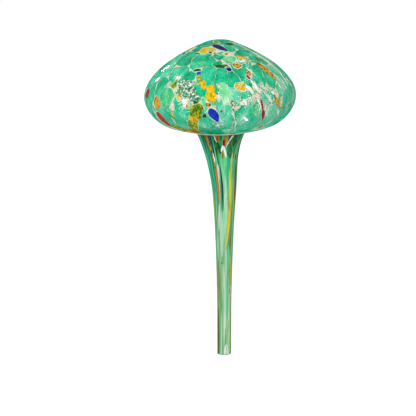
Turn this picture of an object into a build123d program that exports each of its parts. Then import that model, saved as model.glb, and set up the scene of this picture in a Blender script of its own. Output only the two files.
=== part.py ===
"""Hand-blown watering globe: a mushroom cap of chip glass on a long drawn stem.

Millimetres. The origin is the centre of the stem tip, where its straight wall starts above the rounded
lip, and +Z runs up the stem.
The cap sits on the stem at the crease, a little off the stem line and a little tilted.
Coloured chips lie on a frit bed over the clear cap wall, and coloured stripes lie on the stem tube.
"""
import math
import os

from build123d import *

# Cap
cap_diameter = 127.0
cap_height = 79.2
cap_tilt = -1.0

# Stem
stem_length = 188.0
crease_radius = 20.0
tip_radius = 6.0
straight_length = 40.0
stem_wall = 2.5
lip_round = 0.7
lean = 3.2
lean_height = 53.0

# Glass layers
chip_depth = 0.6
bed_depth = 0.8
clear_depth = 1.8
stripe_depth = 0.3
stripe_margin = 2.0

# Chips of the cap: azimuth in degrees from the front, share of the way from apex to crease,
# length along the meridian, width, lean in degrees. Azimuths past 90 are on the back.
jade_chips = [
    (-45, 0.295, 15, 15, 0), (-25, 0.285, 12, 10, 0), (-69, 0.31, 14, 11, 0), (-59, 0.42, 15, 11, 0),
    (-41, 0.40, 12, 11, 0), (-54, 0.53, 13, 7, 0), (-74, 0.46, 15, 11, 0), (-7, 0.44, 13, 10, 0),
    (3.5, 0.46, 14, 7, 0), (11.5, 0.465, 13, 5.5, 15), (19.5, 0.425, 12, 6, 18), (36, 0.45, 18, 10, 0),
    (43, 0.225, 8, 11, 0), (8, 0.575, 11, 7, 0), (19, 0.70, 22, 14, 0), (5, 0.71, 18, 8, 0),
    (42, 0.70, 15, 7, 0), (60, 0.65, 18, 9, 0), (-36, 0.68, 14, 9, 0), (-13, 0.76, 14, 9, 0),
    (12, 0.88, 11, 8, 0), (66, 0.42, 18, 8, 0), (-75, 0.68, 16, 9, 0), (44, 0.89, 8, 8, 0),
    (105, 0.30, 18, 18, 0), (150, 0.28, 20, 17, 0), (195, 0.30, 18, 19, 0), (243, 0.29, 17, 18, 0),
    (110, 0.50, 20, 15, 0), (140, 0.52, 22, 16, 0), (175, 0.49, 20, 17, 0), (207, 0.53, 21, 15, 0),
    (240, 0.50, 19, 16, 0), (115, 0.74, 22, 14, 0), (155, 0.76, 21, 14, 0), (192, 0.74, 22, 13, 0),
    (232, 0.75, 22, 14, 0), (-92, 0.585, 13, 9, 0),
]
mint_chips = [
    (-46, 0.60, 15, 11, 0), (9, 0.30, 7, 11, 0), (3, 0.235, 6, 8, 0), (40, 0.325, 5, 8, 0), (28, 0.615, 11, 5, 0),
    (126, 0.40, 10, 8, 0), (222, 0.63, 12, 8, 0),
]
forest_chips = [(2, 0.355, 4.4, 12, 4), (-22, 0.37, 3.4, 9, 0), (-21, 0.575, 6, 5, 0), (172, 0.62, 9, 5, 20)]
yellow_chips = [
    (-27, 0.19, 8, 10, 0), (-9, 0.20, 4.4, 4.6, 0), (23, 0.265, 4.4, 6, 40), (-15, 0.475, 12, 3.4, 22),
    (-7, 0.555, 12, 8, 8), (-31, 0.575, 6, 5, 0), (-24, 0.735, 14, 6, 0), (16, 0.53, 3.6, 6, 0),
    (130, 0.63, 10, 6, 0), (222, 0.40, 8, 9, 0),
]
amber_chips = [
    (19, 0.355, 5.6, 7.5, 20), (32, 0.285, 4, 6, 50), (51, 0.40, 20, 4, 8), (27.5, 0.42, 6, 2.6, 22),
    (48, 0.605, 13, 3, 34), (31, 0.70, 10, 1.8, 0), (-59, 0.625, 11, 8, 0), (-30, 0.87, 6, 9, 0),
    (160, 0.395, 9, 5, -25), (255, 0.63, 12, 5, 15),
]
olive_chips = [(-18.5, 0.65, 11, 10, 0), (-48, 0.83, 8, 15, 0), (-36, 0.495, 8, 6, 0), (95, 0.62, 12, 6, 0)]
cobalt_chips = [(-5, 0.665, 12.5, 5.4, 22), (-20, 0.415, 3.2, 3, 0), (190, 0.62, 12, 5, -20)]
navy_chips = [(2.5, 0.15, 14, 4.4, 56), (10, 0.385, 5, 5.4, 0), (100, 0.40, 8, 5, 30)]
red_chips = [
    (25, 0.47, 6, 2.4, 28), (34.5, 0.63, 10, 3, 5), (-61, 0.745, 15, 4.4, 4), (-79, 0.57, 7, 4.4, 0),
    (-36, 0.12, 3, 3.4, 0), (205, 0.41, 9, 4, 20),
]

# Stripes of the stem seen from the front: azimuth, low and high share of the stem, width, lean
jade_stripes = [
    (-69, 0.64, 0.98, 5.4, 0), (62, 0.30, 0.66, 2.0, 0), (-54, 0.46, 0.66, 1.7, 0), (13, 0.62, 0.88, 2.0, 0),
    (96, 0.66, 0.98, 6.0, 0), (-81, 0.25, 0.58, 1.9, 0), (-18, 0.87, 0.955, 2.8, 0), (46, 0.62, 0.86, 2.2, 0),
]
mint_stripes = [(47, 0.26, 0.44, 1.5, 0), (60, 0.69, 0.87, 2.2, 0), (-28, 0.225, 0.46, 1.5, 0)]
white_stripes = [
    (7, 0.895, 0.952, 3.0, 0), (-12, 0.30, 0.61, 1.6, 0), (4, 0.225, 0.50, 1.5, 0), (1, 0.66, 0.86, 1.8, 0),
    (-22, 0.70, 0.86, 1.8, 0), (41, 0.885, 0.98, 1.4, 0),
]
forest_stripes = [(31, 0.875, 0.98, 3.0, 0), (53, 0.90, 0.98, 4.0, 0), (20, 0.30, 0.46, 1.2, 0)]
yellow_stripes = [(26, 0.50, 0.82, 2.0, -3)]
amber_stripes = [(-45, 0.90, 0.98, 3.2, 0), (18, 0.953, 0.982, 3.4, 0), (-45, 0.27, 0.43, 1.4, 0)]
olive_stripes = [(-45, 0.72, 0.87, 1.6, 0), (-63, 0.225, 0.42, 1.5, 0), (81, 0.44, 0.62, 1.5, 0)]
navy_stripes = [(-10, 0.64, 0.85, 1.7, 0), (-31, 0.89, 0.98, 2.2, 0)]
red_stripes = [
    (-33, 0.66, 0.86, 1.7, 0), (74, 0.70, 0.87, 1.7, 0), (41, 0.45, 0.56, 1.3, 0), (-9, 0.963, 0.983, 4.0, 0),
    (5, 0.957, 0.981, 2.2, 0),
]

# Stripes of the back, evenly round
back_stripe_count = 9
back_stripe_colours = ["jade", "white", "yellow", "mint", "red", "jade", "white", "navy", "olive", "mint", "amber"]

tilt_angle = math.radians(cap_tilt)
tilt_axis = Vector(math.sin(tilt_angle), 0, math.cos(tilt_angle))
cap_plane = Plane(origin=(-lean, 0, stem_length), x_dir=(tilt_axis.Z, 0, -tilt_axis.X), z_dir=tilt_axis)
cap_section = Plane(origin=cap_plane.origin, x_dir=cap_plane.x_dir, z_dir=-cap_plane.y_dir)
cap_axis = Axis(cap_plane.origin, cap_plane.z_dir)

# Half outline of the cap from the apex to the crease, as shares of its diameter and height
outline_shares = [(0.1228, 0.9495), (0.2898, 0.8146), (0.437, 0.623), (0.5, 0.4023), (0.4189, 0.1475)]
outline_points = [(cap_diameter * reach, cap_height * rise) for reach, rise in outline_shares]
with BuildLine() as half_outline:
    Spline((0, cap_height), *outline_points, (crease_radius, 0), tangents=[(1, 0), (-1, -0.2)])
meridian = half_outline.wire()
meridian_length = meridian.length


def inset_line(depth):
    """The cap's outline moved into the glass."""
    points = []
    for step in range(17):
        run = meridian.tangent_at(step / 16)
        points.append(meridian.position_at(step / 16) + Vector(run.Y, -run.X) * depth)
    with BuildLine() as inset:
        Spline(*points, tangents=[(1, 0), meridian.tangent_at(1)])
    return inset.wire()


bed_line = inset_line(chip_depth)
wall_line = inset_line(chip_depth + bed_depth)
inner_line = inset_line(chip_depth + bed_depth + clear_depth)


def spun(outside, inside, crease_corners):
    """The ring between two outlines, turned about the cap's axis."""
    with BuildPart() as body:
        with BuildSketch(cap_section):
            with BuildLine():
                add(outside.edges())
                add(inside.edges())
                Line(outside @ 0, inside @ 0)
                Polyline(outside @ 1, *crease_corners, inside @ 1)
            make_face()
        revolve(axis=cap_axis)
    return body.part


neck_radius = crease_radius - stem_wall
chip_layer = spun(meridian, bed_line, [])
cap_bed = spun(bed_line, wall_line, [])
cap_wall = spun(wall_line, inner_line, [(crease_radius, 0), (neck_radius, 0), (neck_radius, clear_depth)])

# The outline as a table, so that points on the cap are quick to find
table_size = 240
table = [meridian.position_at(step / table_size) for step in range(table_size + 1)]


def outline_at(share):
    """Radius, height and running direction of the cap's outline."""
    place = min(max(share, 0), 0.9999) * table_size
    step = int(place)
    low = table[step]
    high = table[step + 1]
    point = low + (high - low) * (place - step)
    return point.X, point.Y, (high - low).normalized()


def surface_point(azimuth, share):
    radius, height, run = outline_at(share)
    turn = math.radians(azimuth)
    return cap_plane.from_local_coords(Vector(radius * math.sin(turn), -radius * math.cos(turn), height))


def surface_plane(azimuth, share):
    """Plane that touches the cap, its X sideways."""
    radius, height, run = outline_at(share)
    turn = math.radians(azimuth)
    normal = Vector(-run.Y * math.sin(turn), run.Y * math.cos(turn), run.X)
    sideways = Vector(math.cos(turn), math.sin(turn), 0)
    local = Plane(origin=(0, 0, 0), x_dir=sideways, z_dir=normal)
    world = cap_plane.location * local.location
    return Plane(surface_point(azimuth, share), x_dir=Plane(world).x_dir, z_dir=Plane(world).z_dir)


def chip_solid(azimuth, share, length, width, slant):
    """One oval chip of coloured glass on the frit bed."""
    plane = surface_plane(azimuth, share)
    with BuildPart() as chip:
        with BuildSketch(plane.offset(1)):
            Ellipse(width / 2, length / 2, rotation=slant)
        extrude(amount=-7)
        add(chip_layer, mode=Mode.INTERSECT)
    return chip.part


chip_rows = {
    "jade": jade_chips,
    "mint": mint_chips,
    "forest": forest_chips,
    "yellow": yellow_chips,
    "amber": amber_chips,
    "olive": olive_chips,
    "cobalt": cobalt_chips,
    "navy": navy_chips,
    "red": red_chips,
}
cap_chips = {colour: [] for colour in chip_rows}
for colour, rows in chip_rows.items():
    for row in rows:
        cap_chips[colour].extend(chip_solid(*row).solids())


def stem_radius(height):
    """Bare tube: straight at the tip, then a slow flare that opens fast under the cap."""
    rise = max(0, (height - straight_length) / (stem_length - straight_length))
    return tip_radius + (crease_radius - stripe_depth - tip_radius) * (0.6 * rise ** 2 + 0.4 * rise ** 10)


def lean_share(height):
    rise = min(max((height - stem_length + lean_height) / lean_height, 0), 1)
    return 3 * rise ** 2 - 2 * rise ** 3


def stem_plane(height):
    turn = tilt_angle * lean_share(height)
    axis = Vector(math.sin(turn), 0, math.cos(turn))
    return Plane(origin=(-lean * lean_share(height), 0, height), x_dir=(axis.Z, 0, -axis.X), z_dir=axis)


flare_steps = [0, 0.18, 0.36, 0.52, 0.66, 0.78, 0.88, 0.95, 1]


def flare_body(outset):
    """The flared part of the stem as a solid, grown from the bare tube by an outset."""
    with BuildPart() as flare:
        for step in flare_steps:
            height = straight_length + step * (stem_length - straight_length)
            with BuildSketch(stem_plane(height)):
                Circle(stem_radius(height) + outset)
        loft()
    return flare.part


def flare_shell(outside, inside):
    """The ring between two outsets of the flared part."""
    with BuildPart() as shell:
        add(flare_body(outside))
        add(flare_body(inside), mode=Mode.SUBTRACT)
    return shell.part


with BuildPart() as stem_tube:
    with BuildSketch(Plane.XY.offset(-lip_round)):
        Circle(tip_radius)
        Circle(tip_radius - stem_wall, mode=Mode.SUBTRACT)
    extrude(amount=lip_round + straight_length)
    add(flare_shell(0, -stem_wall))
    fillet(stem_tube.edges().group_by(Axis.Z)[0], lip_round)
stripe_layer = flare_shell(stripe_depth, 0)


def stripe_solid(azimuth, low_share, high_share, width, slant):
    """One drawn-out stripe of coloured glass, pointed at both ends."""
    low = max(stem_length * low_share, straight_length + stripe_margin)
    high = stem_length * high_share
    middle = (low + high) / 2
    half_length = (high - low) / 2
    turn = math.radians(azimuth)
    out = Vector(math.sin(turn), -math.cos(turn), 0)
    reach = stem_radius(high) + lean + 2
    start = Vector(stem_plane(middle).origin.X, 0, middle) + out * reach
    plane = Plane(start, x_dir=(math.cos(turn), math.sin(turn), 0), z_dir=out).rotated((0, 0, slant))
    with BuildPart() as stripe:
        with BuildSketch(plane):
            with BuildLine():
                ThreePointArc((0, -half_length), (width / 2, 0), (0, half_length))
                ThreePointArc((0, half_length), (-width / 2, 0), (0, -half_length))
            make_face()
        extrude(amount=-reach)
        add(stripe_layer, mode=Mode.INTERSECT)
    return stripe.part


stem_rows = {
    "jade": jade_stripes,
    "mint": mint_stripes,
    "white": white_stripes,
    "forest": forest_stripes,
    "yellow": yellow_stripes,
    "amber": amber_stripes,
    "olive": olive_stripes,
    "navy": navy_stripes,
    "red": red_stripes,
}
stem_stripes = {colour: [] for colour in stem_rows}
for colour, rows in stem_rows.items():
    for row in rows:
        stem_stripes[colour].extend(stripe_solid(*row).solids())
for number in range(back_stripe_count):
    azimuth = 180 + (number - (back_stripe_count - 1) / 2) * 18.5
    low_share = 0.23 + 0.18 * (number % 3)
    high_share = low_share + 0.3 + 0.03 * (number % 4)
    colour = back_stripe_colours[number % len(back_stripe_colours)]
    stem_stripes[colour].extend(stripe_solid(azimuth, low_share, high_share, 1.2 + 0.2 * (number % 4), 0).solids())

pieces = {"cap_wall": cap_wall, "cap_frit_bed": cap_bed, "stem_tube": stem_tube.part}
for colour, solids in cap_chips.items():
    pieces["cap_" + colour + "_chips"] = Compound(solids)
for colour, solids in stem_stripes.items():
    pieces["stem_" + colour + "_stripes"] = Compound(solids)
os.makedirs("parts", exist_ok=True)
for name, piece in pieces.items():
    piece.label = name
    export_step(piece, "parts/" + name + ".step")
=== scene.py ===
"""Looks of the hand-blown watering globe, dressed over its solids.

Metres, in the frame of the solids: the origin is the centre of the open stem tip, just above its lip,
and +Z runs up the stem.
Coloured glass chips lie flush in a cream frit bed on the cap, and drawn-out stripes run down the stem.
"""
import cmath
import math

import bpy
import numpy as np
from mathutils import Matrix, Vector


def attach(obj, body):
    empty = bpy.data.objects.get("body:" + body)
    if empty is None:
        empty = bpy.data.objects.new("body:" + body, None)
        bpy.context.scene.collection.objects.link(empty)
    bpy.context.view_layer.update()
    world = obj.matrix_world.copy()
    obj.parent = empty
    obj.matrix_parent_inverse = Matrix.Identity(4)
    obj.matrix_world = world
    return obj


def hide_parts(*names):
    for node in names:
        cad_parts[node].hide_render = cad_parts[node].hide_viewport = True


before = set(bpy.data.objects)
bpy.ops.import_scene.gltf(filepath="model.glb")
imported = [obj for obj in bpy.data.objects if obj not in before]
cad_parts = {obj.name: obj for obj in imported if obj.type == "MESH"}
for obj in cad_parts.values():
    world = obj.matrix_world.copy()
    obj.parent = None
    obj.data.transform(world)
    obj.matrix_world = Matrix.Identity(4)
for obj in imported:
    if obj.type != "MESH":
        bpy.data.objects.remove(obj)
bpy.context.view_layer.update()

# Sizes of the solids in millimetres
MM = 0.001
cap_diameter = 127.0
cap_height = 79.2
cap_tilt = math.radians(-1.0)
stem_length = 188.0
crease_radius = 20.0
tip_radius = 6.0
straight_length = 40.0
stem_wall = 2.5
lip_round = 0.7
lean = 3.2
lean_height = 53.0
bed_bottom = 1.4
stripe_depth = 0.3

# How far the dressed layers lie under the cap's outside, and how deep chips and stripes are set
bed_drop = 0.20
cell_drop = 0.10
frit_drop = 0.05
frost_lift = 0.01
halo_drop = 0.065
rim_drop = 0.06
side_drop = 0.03
front_drop = 0.15
back_drop = 0.41
apex_dip = 0.5
apex_reach = 7.0
chip_seat = 0.5
stripe_seat = 0.25

# Shapes of the chips: seams and halos come and go by their spread, and blue and red chips are drops
seam_width = 0.9
seam_spread = (1.7, 0.35)
halo_width = 0.8
halo_spread = (1.6, 0.4)
least_halo = 0.1
halo_frost = 0.5
cell_growth = 1.75
clear_gap = 0.5
neighbour_reach = 60.0
outline_waves = {"jade": 0.06, "mint": 0.05, "cobalt": 0.03, "navy": 0.03, "red": 0.05}
plain_wave = 0.09
patch_wave = 0.18
fifth_wave = 0.7
drop_colours = ("cobalt", "navy", "red")
drop_taper = 0.45
drop_bend = 0.15
drop_lift = 0.012
ripple_size = 0.5
# Chips end at this share, short of the painted highlight band at the crease
highlight_band_share = 0.965

# Chips of the cap: azimuth in degrees from the front, share of the way from apex to crease,
# length along the meridian and width in millimetres, and slant in degrees where there is one
front_chips = {
    "jade": [
        (-45, 0.295, 19, 20), (-25, 0.285, 18, 14), (-12, 0.305, 10, 9), (-69, 0.30, 17, 15),
        (-90, 0.27, 18, 16), (-58, 0.41, 20, 14), (-43, 0.405, 18, 14), (-26, 0.435, 7, 7),
        (-72, 0.45, 20, 13), (-53, 0.505, 17, 11, 10), (-65, 0.535, 16, 10), (-88, 0.47, 22, 15),
        (-10, 0.44, 19, 14), (1, 0.45, 19, 12), (11, 0.455, 20, 9, 18), (20, 0.425, 20, 11, 18),
        (27, 0.365, 10, 9), (36, 0.445, 24, 11, 5), (44, 0.46, 20, 8, 8), (43, 0.225, 10, 15),
        (49, 0.295, 10, 8), (58, 0.325, 10, 7), (40, 0.15, 10, 9), (24, 0.165, 10, 7), (0, 0.265, 7, 8),
        (-3, 0.335, 6, 6), (60, 0.44, 18, 7), (70, 0.40, 24, 8), (53, 0.53, 14, 7), (65, 0.55, 20, 8),
        (80, 0.44, 26, 9), (78, 0.62, 26, 10), (10, 0.565, 15, 10), (18, 0.57, 8, 7), (22, 0.73, 38, 20),
        (4, 0.73, 38, 12), (43, 0.73, 36, 13), (37, 0.565, 14, 8), (56, 0.74, 34, 10), (58, 0.60, 16, 8),
        (68, 0.74, 34, 10), (-6, 0.86, 20, 10), (-34, 0.67, 18, 12), (-50, 0.695, 22, 9, 8),
        (-71, 0.625, 22, 8), (-14, 0.53, 12, 8), (-13, 0.73, 20, 12), (-36, 0.77, 14, 9),
        (-16, 0.86, 16, 9), (-75, 0.74, 22, 12), (-78, 0.36, 14, 10), (4, 0.07, 9, 12),
        (-50, 0.10, 12, 12), (75, 0.20, 16, 14), (75, 0.30, 14, 11), (58, 0.235, 12, 8),
        (-43, 0.17, 8, 9), (-88, 0.62, 24, 12),
    ],
    "mint": [
        (-43.5, 0.57, 18.5, 15), (12, 0.29, 9, 12), (3, 0.225, 7, 10), (40, 0.325, 5, 9),
        (3.4, 0.55, 20, 8.5), (-11.5, 0.615, 15, 4, 10), (46, 0.635, 11, 2.6, 30), (27, 0.64, 14, 7),
        (-20, 0.33, 8, 9),
    ],
    "forest": [
        (2, 0.355, 5, 13, 4), (-22, 0.385, 2.8, 7), (-36, 0.225, 3, 5), (-14, 0.215, 4, 2.6),
        (-18.5, 0.595, 3.4, 6), (32, 0.115, 6, 9), (-13, 0.68, 4.5, 4.5, 30), (53, 0.20, 15, 1.6, 6),
    ],
    "yellow": [
        (-29, 0.197, 13, 10.5), (-14.5, 0.178, 7, 7), (30, 0.283, 5, 12, -22), (-15, 0.475, 16, 5.4, 24),
        (-7, 0.562, 20, 9.5, 5), (-32, 0.57, 6.5, 5), (-25, 0.62, 5, 3), (-40, 0.673, 3.6, 4.4),
        (-22.5, 0.71, 17, 7.6, -8), (16, 0.505, 9, 9),
    ],
    "amber": [
        (18, 0.355, 6, 8.5, 20), (36, 0.302, 3, 3.6), (9, 0.235, 3.4, 4.4), (48, 0.405, 23, 6.6, 22),
        (26, 0.42, 6, 3, 22), (47, 0.613, 16.5, 3.8, 34), (43, 0.80, 9, 4.6), (-8.5, 0.605, 6, 4.6, 20),
        (-55, 0.608, 12, 9), (-33, 0.85, 18, 10, 40), (-68, 0.21, 8, 6),
    ],
    "olive": [
        (-38.5, 0.49, 9.5, 6.5), (-45.5, 0.80, 18, 8, 49), (-18, 0.647, 17, 13.5), (-8, 0.09, 3.4, 7),
        (85, 0.53, 12, 5), (-26, 0.765, 17, 9, -15),
    ],
    "cobalt": [
        (-5, 0.678, 15.5, 8, 26), (-19.5, 0.412, 5, 4.2, -30),
    ],
    "navy": [
        (1, 0.158, 19, 6.6, 45), (8.5, 0.385, 5, 5.6), (-69, 0.24, 4, 6),
    ],
    "red": [
        (24.3, 0.447, 6.5, 3, 28), (35.5, 0.69, 14, 3.6, 16), (32.3, 0.625, 17, 2.1, 18),
        (-57, 0.725, 20, 9.5, 8), (-72, 0.56, 10, 9.5), (-19, 0.125, 3, 3.6), (-7.5, 0.225, 3, 2.6),
        (0.5, 0.65, 2.4, 2.4),
    ],
}

# Chips of the back on sunflower spirals: large accents, with finer cells and small accents between them
spiral_count = 90
fine_count = 190
golden_angle = 137.508
back_start = 97.0
fine_start = 93.0
accent_every = 2
small_accent_every = 2
spiral_jitter = 0.45
spiral_reach = 0.94
spiral_limit = 0.95
# Mean and spread of length and width, and largest slant. Accents and cells are shares of the spiral's pitch
accent_sizes = ((0.55, 0.2), (0.4, -0.12), 30)
back_cell_sizes = ((1.0, 0.2), (1.0, 0.0), 0)
small_accent_sizes = ((6.0, 2.5), (4.0, -1.2), 40)
accent_beat = 12.9
cell_beat = 7.3
back_accents = ["yellow", "mint", "amber", "cobalt", "olive", "red", "yellow", "navy", "forest", "amber"]

# Patches and streaks of bare frit, and thin white streaks along the right shoulder that are painted
# reflections: azimuth, share, length, width, slant, how white and how speckled
frit_patches = [
    (-28.5, 0.515, 16, 14, 0, 0.0, 1.0), (-20.5, 0.56, 13, 9, 0, 0.0, 1.0),
    (-27, 0.60, 12, 12, 0, 1.0, 0.0), (17, 0.60, 7, 12, 0, 0.7, 0.3), (24, 0.585, 9, 5, 60, 0.4, 0.6),
    (29.4, 0.62, 20, 4.6, 14, 1.0, 0.1), (22, 0.52, 14, 2.2, 45, 0.8, 0.2),
    (27.5, 0.505, 14, 1.8, 30, 0.9, 0.0), (31, 0.535, 10, 2.2, 20, 0.5, 0.6),
    (36, 0.565, 16, 1.6, 35, 0.6, 0.4), (40, 0.60, 12, 1.4, 40, 0.6, 0.3), (34, 0.51, 9, 3.5, 10, 0.3, 0.7),
    (43, 0.55, 7, 7, 0, 0.9, 0.0), (-3, 0.757, 6, 9, 0, 0.8, 0.2), (27, 0.315, 8, 10, 20, 1.0, 0.0),
    (17, 0.50, 5, 8, 0, 0.7, 0.0), (51, 0.675, 9, 2.5, 30, 0.8, 0.2), (10, 0.335, 6, 12, 0, 0.0, 0.5),
    (28.5, 0.40, 14, 1.6, 20, 0.8, 0.0), (12.5, 0.742, 40, 1.1, 14, 0.6, 0.0),
    # The thin streaks at azimuths 55 to 86 in the next three lines are painted reflections along the right
    # shoulder
    (9, 0.613, 8, 6.5, 0, 0.0, 0.85), (78, 0.27, 40, 1.3, 0, 0.6, 0.0), (86, 0.42, 34, 1.2, 0, 0.5, 0.0),
    (70, 0.36, 26, 0.9, 6, 0.6, 0.0), (72, 0.55, 30, 1.0, 4, 0.5, 0.0), (60, 0.50, 14, 1.2, 12, 0.7, 0.0),
    (55, 0.46, 12, 1.2, 20, 0.7, 0.0), (150, 0.50, 16, 12, 0, 0.1, 1.0), (-140, 0.60, 14, 12, 0, 0.6, 0.8),
    (-165, 0.35, 10, 9, 0, 0.9, 0.2), (172, 0.70, 12, 8, 0, 0.2, 1.0), (115, 0.62, 12, 8, 0, 0.8, 0.4),
    (135, 0.60, 20, 1.4, 20, 0.7, 0.2), (-115, 0.52, 18, 1.4, -20, 0.7, 0.2),
    (-175, 0.55, 16, 1.6, 30, 0.8, 0.2), (160, 0.72, 30, 1.2, 10, 0.6, 0.0),
    (-120, 0.72, 30, 1.2, -8, 0.6, 0.0), (5, 0.55, 19, 6, 8, 0.0, 0.0), (0, 0.50, 6, 7, 0, 0.0, 0.0),
    (-1.4, 0.572, 15, 5, 0, 0.35, 0.0), (38, 0.53, 6, 13, 0, 0.1, 0.4), (-38, 0.447, 8, 9, 0, 0.5, 0.3),
    (-14, 0.60, 9, 5, 0, 0.0, 0.1), (-43.5, 0.57, 21.4, 17.4, 0, 0.05, 0.05),
    # The streaks at azimuths 52 to 66 on the next line are painted reflections along the right shoulder
    (64, 0.29, 50, 4.0, 2, 0.35, 0.0), (66, 0.45, 22, 1.8, 0, 0.6, 0.0), (52, 0.515, 10, 2.0, 8, 0.7, 0.0),
]
patch_core = 0.6
streak_width = 4.0
patch_salt = 500
# Grains round the patches: reach as a share of the patch, fade, and shares for a white and a speckled patch
grain_reach = 1.35
grain_fade = 1.4
grain_shares = {"white": (1.0, 0.16), "forest": (0.1, 0.6)}

# Stripes of the stem: places down the stripe as azimuth in degrees and height, then width and tint
front_stripes = {
    "amber": [
        ([(-40, 186), (-31, 170)], 2.6, 0.25), ([(14, 187), (14, 180)], 3.4, 0.35),
        ([(3, 175), (2, 168)], 2.2, 0.5), ([(-44, 81), (-41, 66), (-46, 40)], 1.7, -0.04),
        ([(-10, 187), (-8, 182)], 4.6, 0.05), ([(40, 107), (41, 86)], 1.2, 0.0),
        ([(-33, 171), (-31, 165)], 1.6, 0.1), ([(-54, 44), (-52, 1)], 2.0, -0.08),
    ],
    "red": [
        ([(-29, 166), (-28, 129)], 2.0, 0.85), ([(8, 185), (8, 178.5)], 2.8, 0.25),
        ([(55, 172), (57, 166)], 2.4, 0.4), ([(60, 167), (59, 128)], 2.2, 0.0),
    ],
    "white": [
        ([(-18, 187), (-11, 182)], 2.0, 0.7), ([(7, 180), (-1, 174)], 2.0, 0.9),
        ([(7, 180), (15, 169)], 2.0, 0.8), ([(31, 187), (14, 178)], 1.6, 0.7),
        ([(-18, 164), (-20, 150)], 1.4, 0.3), ([(6, 155), (8, 134), (5, 113)], 1.6, 0.1),
        ([(-19, 124), (-17, 84)], 3.0, -0.15), ([(-28, 131), (-36, 106)], 1.3, 0.2),
        ([(-9, 79), (7, 52), (8, 22)], 1.6, 0.05), ([(35, 71), (41, 39), (28, 22)], 1.1, 0.1),
        ([(-21, 41), (-23, 2)], 1.0, 0.1), ([(-30, 173), (-29, 164)], 1.6, 0.7),
        ([(19, 9), (19, 1)], 5.0, 0.2), ([(13, 92), (14, 62)], 1.4, -0.2),
    ],
    "forest": [
        ([(-10, 184), (-3, 172)], 2.8, 0.3), ([(24, 184), (31, 168)], 3.8, 0.85),
        ([(42, 187), (38, 178)], 5.6, 0.5), ([(-19, 80), (-19, 78)], 0.9, 0.3),
        ([(45, 57), (45, 52)], 0.9, 0.3), ([(50, 187), (43, 168)], 2.6, 0.8),
        ([(-18, 187), (-14, 160)], 2.4, 0.7), ([(74, 186), (68, 140)], 2.2, 0.6),
        ([(0, 187), (1, 183)], 2.2, 0.5),
    ],
    "olive": [
        ([(63, 187), (56, 172)], 2.4, 0.4), ([(68, 168), (64, 112)], 2.8, 0.3),
        ([(-62, 150), (-60, 112)], 1.4, 0.5), ([(62, 56), (60, 2)], 2.0, 0.3),
        ([(46, 84), (50, 56)], 2.6, 0.62),
    ],
    "navy": [([(-10, 162), (-7, 123)], 1.8, 0.2), ([(-30, 187), (-24, 168)], 2.8, 0.4)],
    "yellow": [
        ([(39, 173), (29, 152), (31, 128), (23, 108), (14, 93)], 3.1, 0.5),
    ],
    "mint": [
        ([(50, 167), (50, 150)], 1.6, 0.0), ([(5, 171), (7, 155)], 3.2, 0.4),
        ([(9, 84), (10, 66)], 1.7, 0.6), ([(26, 94), (24, 70)], 2.4, 0.4),
        ([(-2, 130), (-4, 96)], 1.8, 0.7), ([(70, 125), (66, 56)], 2.6, 0.2),
        ([(-22, 155), (-24, 132)], 1.4, 0.6), ([(20, 74), (18, 30)], 1.9, 0.2),
    ],
    "jade": [
        ([(-66, 186), (-60, 120)], 4.6, 0.3), ([(21, 171), (15, 133)], 3.2, 0.3),
        ([(-50, 182), (-42, 128)], 2.4, 0.2), ([(12, 184), (10, 172)], 1.6, 0.2),
        ([(70, 186), (66, 150)], 3.0, 0.3), ([(60, 110), (60, 60)], 2.0, 0.4),
        ([(-72, 120), (-70, 60)], 2.4, 0.4), ([(47, 186), (41, 150)], 2.0, 0.2),
        ([(-40, 40), (-40, 2)], 1.3, 0.2),
    ],
}
# Threads are cut square at the crease and at the tip, and lie in thin layers in the order of the colours
crease_height = 185.5
tip_height = 2.5
tip_cut = 0.2
layer_step = 0.008
thread_lift = 0.02
thread_sag = 0.08
thread_round = 6
thread_point = 0.55

# Threads of the back: spacing in degrees, the ranges that their sizes come from, and colours
back_stripe_count = 26
back_stripe_gap = 7.4
back_stripe_top = 186
back_low_ends = (10, 130)
back_lengths = (30, 90)
back_drifts = (-2, 2)
back_widths = (1.0, 2.4)
back_tip_share = 0.5
back_full_height = 160
back_tints = (0.15, 0.55)
back_stripe_colours = [
    "jade", "white", "mint", "yellow", "jade", "forest", "white", "red", "mint", "navy", "amber",
]


def linear(code):
    """An sRGB hex colour as linear RGBA."""
    shares = [int(code[place:place + 2], 16) / 255 for place in (1, 3, 5)]
    shares = [share / 12.92 if share <= 0.04045 else ((share + 0.055) / 1.055) ** 2.4 for share in shares]
    return shares + [1.0]


def set_inputs(tree, node, sockets):
    """Sets a node's inputs to values, or links them to outputs."""
    for name, value in sockets.items():
        if isinstance(value, bpy.types.NodeSocket):
            tree.links.new(value, node.inputs[name])
        else:
            node.inputs[name].default_value = value


def add_node(tree, kind, sockets=None, **settings):
    """Adds a node with its options and its inputs."""
    node = tree.nodes.new(kind)
    for name, value in settings.items():
        setattr(node, name, value)
    set_inputs(tree, node, sockets or {})
    return node


def reckon(tree, operation, *values):
    return add_node(tree, "ShaderNodeMath", dict(enumerate(values)), operation=operation).outputs[0]


def scaled(tree, vector, size):
    return add_node(tree, "ShaderNodeVectorMath", {0: vector, "Scale": size}, operation="SCALE").outputs[0]


def painted(tree, name, output="Fac"):
    """A value that the mesh holds at each point."""
    return add_node(tree, "ShaderNodeAttribute", attribute_name=name).outputs[output]


def object_place(tree):
    return add_node(tree, "ShaderNodeTexCoord").outputs["Object"]


def noise(tree, place, size, detail=2.0, roughness=0.5):
    sockets = {"Vector": place, "Scale": 1 / size, "Detail": detail, "Roughness": roughness}
    return add_node(tree, "ShaderNodeTexNoise", sockets).outputs["Fac"]


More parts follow.
